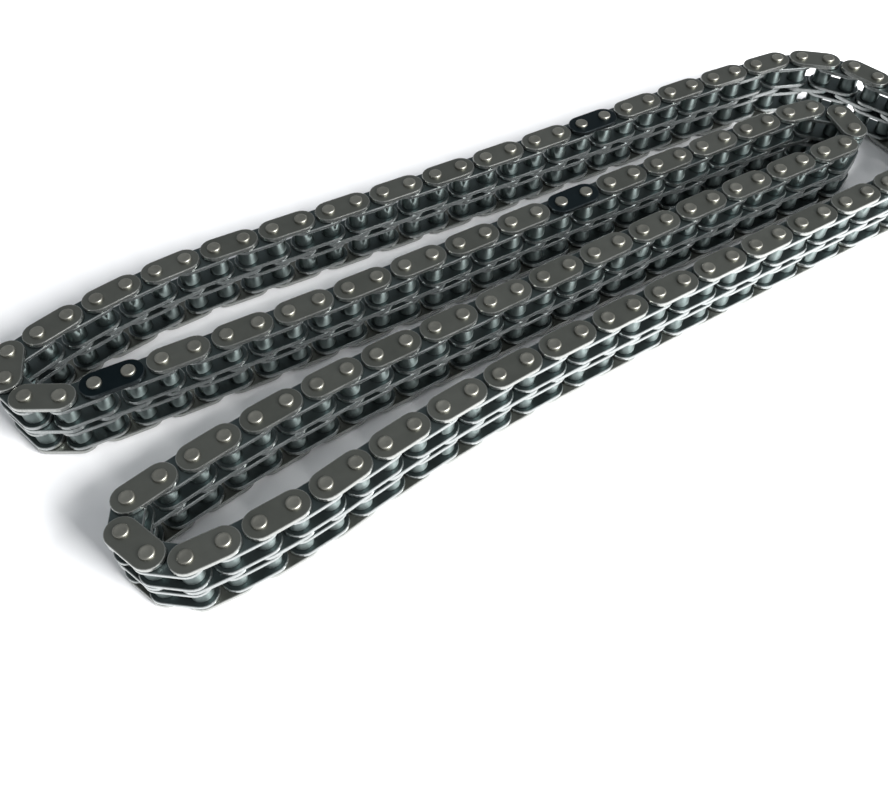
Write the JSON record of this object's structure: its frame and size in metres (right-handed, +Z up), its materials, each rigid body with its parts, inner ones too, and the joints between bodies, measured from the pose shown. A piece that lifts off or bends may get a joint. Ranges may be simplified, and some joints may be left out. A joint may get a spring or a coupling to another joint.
{
  "type": "roller chain",
  "caption": "Endless two-strand roller chain lying on its side in a folded loop, with riveted pins, round-ended plates, bushes and rollers.",
  "frame": {"origin": "under the middle of the folded loop, on the surface that the chain lies on", "axes": "+Z up along the pins, +X along the strands towards the outer turn, +Y towards the far strand"},
  "size_m": [0.324, 0.1054, 0.0237],
  "materials": {
    "outer_plate_steel": "dark satin blued steel",
    "inner_plate_steel": "dark satin steel",
    "marked_plate_black": "black oxide",
    "pin_steel": "ground, riveted over at both ends",
    "bush_steel": "hardened and ground",
    "roller_steel": "tumbled, half bright"
  },
  "bodies": {
    "inner_run": {"inner_run_bushes": "bush_steel", "inner_run_inner_plates": "inner_plate_steel", "inner_run_marked_plates": "marked_plate_black", "inner_run_middle_plates": "outer_plate_steel", "inner_run_outer_plates": "outer_plate_steel", "inner_run_pins": "pin_steel", "inner_run_rollers": "roller_steel"},
    "left_turn_link_3": {"left_turn_link_3_middle_plates": "outer_plate_steel", "left_turn_link_3_outer_plates": "outer_plate_steel", "left_turn_link_3_pins": "pin_steel"},
    "left_turn_link_2": {"left_turn_link_2_bushes": "bush_steel", "left_turn_link_2_inner_plates": "inner_plate_steel"},
    "left_turn_link_1": {"left_turn_link_1_middle_plates": "outer_plate_steel", "left_turn_link_1_outer_plates": "outer_plate_steel", "left_turn_link_1_pins": "pin_steel"},
    "far_run_left": {"far_run_left_bushes": "bush_steel", "far_run_left_inner_plates": "inner_plate_steel", "far_run_left_middle_plates": "outer_plate_steel", "far_run_left_outer_plates": "outer_plate_steel", "far_run_left_pins": "pin_steel", "far_run_left_rollers": "roller_steel"},
    "far_run_right": {"far_run_right_bushes": "bush_steel", "far_run_right_inner_plates": "inner_plate_steel", "far_run_right_marked_plates": "marked_plate_black", "far_run_right_middle_plates": "outer_plate_steel", "far_run_right_outer_plates": "outer_plate_steel", "far_run_right_pins": "pin_steel", "far_run_right_rollers": "roller_steel"},
    "far_end_link": {"far_end_link_middle_plates": "outer_plate_steel", "far_end_link_outer_plates": "outer_plate_steel", "far_end_link_pins": "pin_steel"},
    "front_turn_link_1": {"front_turn_link_1_bushes": "bush_steel", "front_turn_link_1_inner_plates": "inner_plate_steel"},
    "front_turn_link_2": {"front_turn_link_2_middle_plates": "outer_plate_steel", "front_turn_link_2_outer_plates": "outer_plate_steel", "front_turn_link_2_pins": "pin_steel"},
    "front_turn_link_3": {"front_turn_link_3_bushes": "bush_steel", "front_turn_link_3_inner_plates": "inner_plate_steel"},
    "near_run_left": {"near_run_left_bushes": "bush_steel", "near_run_left_inner_plates": "inner_plate_steel", "near_run_left_middle_plates": "outer_plate_steel", "near_run_left_outer_plates": "outer_plate_steel", "near_run_left_pins": "pin_steel", "near_run_left_rollers": "roller_steel"},
    "near_run_right": {"near_run_right_bushes": "bush_steel", "near_run_right_inner_plates": "inner_plate_steel", "near_run_right_middle_plates": "outer_plate_steel", "near_run_right_outer_plates": "outer_plate_steel", "near_run_right_pins": "pin_steel", "near_run_right_rollers": "roller_steel"},
    "near_end_link": {"near_end_link_bushes": "bush_steel", "near_end_link_inner_plates": "inner_plate_steel"},
    "left_turn_link_2_first_rollers": {"left_turn_link_2_first_rollers": "roller_steel"},
    "left_turn_link_2_second_rollers": {"left_turn_link_2_second_rollers": "roller_steel"},
    "front_turn_link_1_first_rollers": {"front_turn_link_1_first_rollers": "roller_steel"},
    "front_turn_link_1_second_rollers": {"front_turn_link_1_second_rollers": "roller_steel"},
    "front_turn_link_3_first_rollers": {"front_turn_link_3_first_rollers": "roller_steel"},
    "front_turn_link_3_second_rollers": {"front_turn_link_3_second_rollers": "roller_steel"},
    "near_end_link_first_rollers": {"near_end_link_first_rollers": "roller_steel"},
    "near_end_link_second_rollers": {"near_end_link_second_rollers": "roller_steel"}
  },
  "joints": [
    {"name": "left_turn_pivot_4", "type": "hinge", "parent": "inner_run", "child": "left_turn_link_3", "pos_m": [-0.14608, 0.01525, 0.01184], "axis": [0, 0, 1], "range_deg": [0, 36]},
    {"name": "left_turn_pivot_3", "type": "hinge", "parent": "left_turn_link_3", "child": "left_turn_link_2", "pos_m": [-0.15442, 0.01987, 0.01184], "axis": [0, 0, 1], "range_deg": [0, 52]},
    {"name": "left_turn_pivot_2", "type": "hinge", "parent": "left_turn_link_2", "child": "left_turn_link_1", "pos_m": [-0.15752, 0.02888, 0.01184], "axis": [0, 0, 1], "range_deg": [0, 48]},
    {"name": "left_turn_pivot_1", "type": "hinge", "parent": "left_turn_link_1", "child": "far_run_left", "pos_m": [-0.15442, 0.03788, 0.01184], "axis": [0, 0, 1], "range_deg": [0, 63]},
    {"name": "far_run_pivot", "type": "hinge", "parent": "far_run_left", "child": "far_run_right", "pos_m": [0.00622, 0.04377, 0.01184], "axis": [0, 0, 1], "range_deg": [0, 45]},
    {"name": "far_end_pivot", "type": "hinge", "parent": "far_run_right", "child": "far_end_link", "pos_m": [0.15493, -0.01573, 0.01184], "axis": [0, 0, 1], "range_deg": [0, 60]},
    {"name": "front_turn_pivot_1", "type": "hinge", "parent": "inner_run", "child": "front_turn_link_1", "pos_m": [-0.14002, -0.02502, 0.01184], "axis": [0, 0, 1], "range_deg": [-61, 0]},
    {"name": "front_turn_pivot_2", "type": "hinge", "parent": "front_turn_link_1", "child": "front_turn_link_2", "pos_m": [-0.14427, -0.03354, 0.01184], "axis": [0, 0, 1], "range_deg": [-59, 0]},
    {"name": "front_turn_pivot_3", "type": "hinge", "parent": "front_turn_link_2", "child": "front_turn_link_3", "pos_m": [-0.14063, -0.04234, 0.01184], "axis": [0, 0, 1], "range_deg": [-41, 0]},
    {"name": "front_turn_pivot_4", "type": "hinge", "parent": "front_turn_link_3", "child": "near_run_left", "pos_m": [-0.13297, -0.04801, 0.01184], "axis": [0, 0, 1], "range_deg": [-45, 0]},
    {"name": "near_run_pivot", "type": "hinge", "parent": "near_run_left", "child": "near_run_right", "pos_m": [-0.00045, -0.03543, 0.01184], "axis": [0, 0, 1], "range_deg": [-45, 0]},
    {"name": "near_end_pivot", "type": "hinge", "parent": "near_run_right", "child": "near_end_link", "pos_m": [0.1419, -0.02928, 0.01184], "axis": [0, 0, 1], "range_deg": [-60, 0]},
    {"name": "left_turn_link_2_first_rollers_spin", "type": "hinge", "parent": "left_turn_link_2", "child": "left_turn_link_2_first_rollers", "pos_m": [-0.15752, 0.02888, 0.01184], "axis": [0, 0, 1], "continuous": true},
    {"name": "left_turn_link_2_second_rollers_spin", "type": "hinge", "parent": "left_turn_link_2", "child": "left_turn_link_2_second_rollers", "pos_m": [-0.15442, 0.01987, 0.01184], "axis": [0, 0, 1], "continuous": true},
    {"name": "front_turn_link_1_first_rollers_spin", "type": "hinge", "parent": "front_turn_link_1", "child": "front_turn_link_1_first_rollers", "pos_m": [-0.14002, -0.02502, 0.01184], "axis": [0, 0, 1], "continuous": true},
    {"name": "front_turn_link_1_second_rollers_spin", "type": "hinge", "parent": "front_turn_link_1", "child": "front_turn_link_1_second_rollers", "pos_m": [-0.14427, -0.03354, 0.01184], "axis": [0, 0, 1], "continuous": true},
    {"name": "front_turn_link_3_first_rollers_spin", "type": "hinge", "parent": "front_turn_link_3", "child": "front_turn_link_3_first_rollers", "pos_m": [-0.14063, -0.04234, 0.01184], "axis": [0, 0, 1], "continuous": true},
    {"name": "front_turn_link_3_second_rollers_spin", "type": "hinge", "parent": "front_turn_link_3", "child": "front_turn_link_3_second_rollers", "pos_m": [-0.13297, -0.04801, 0.01184], "axis": [0, 0, 1], "continuous": true},
    {"name": "near_end_link_first_rollers_spin", "type": "hinge", "parent": "near_end_link", "child": "near_end_link_first_rollers", "pos_m": [0.1419, -0.02928, 0.01184], "axis": [0, 0, 1], "continuous": true},
    {"name": "near_end_link_second_rollers_spin", "type": "hinge", "parent": "near_end_link", "child": "near_end_link_second_rollers", "pos_m": [0.14953, -0.02358, 0.01184], "axis": [0, 0, 1], "continuous": true}
  ]
}
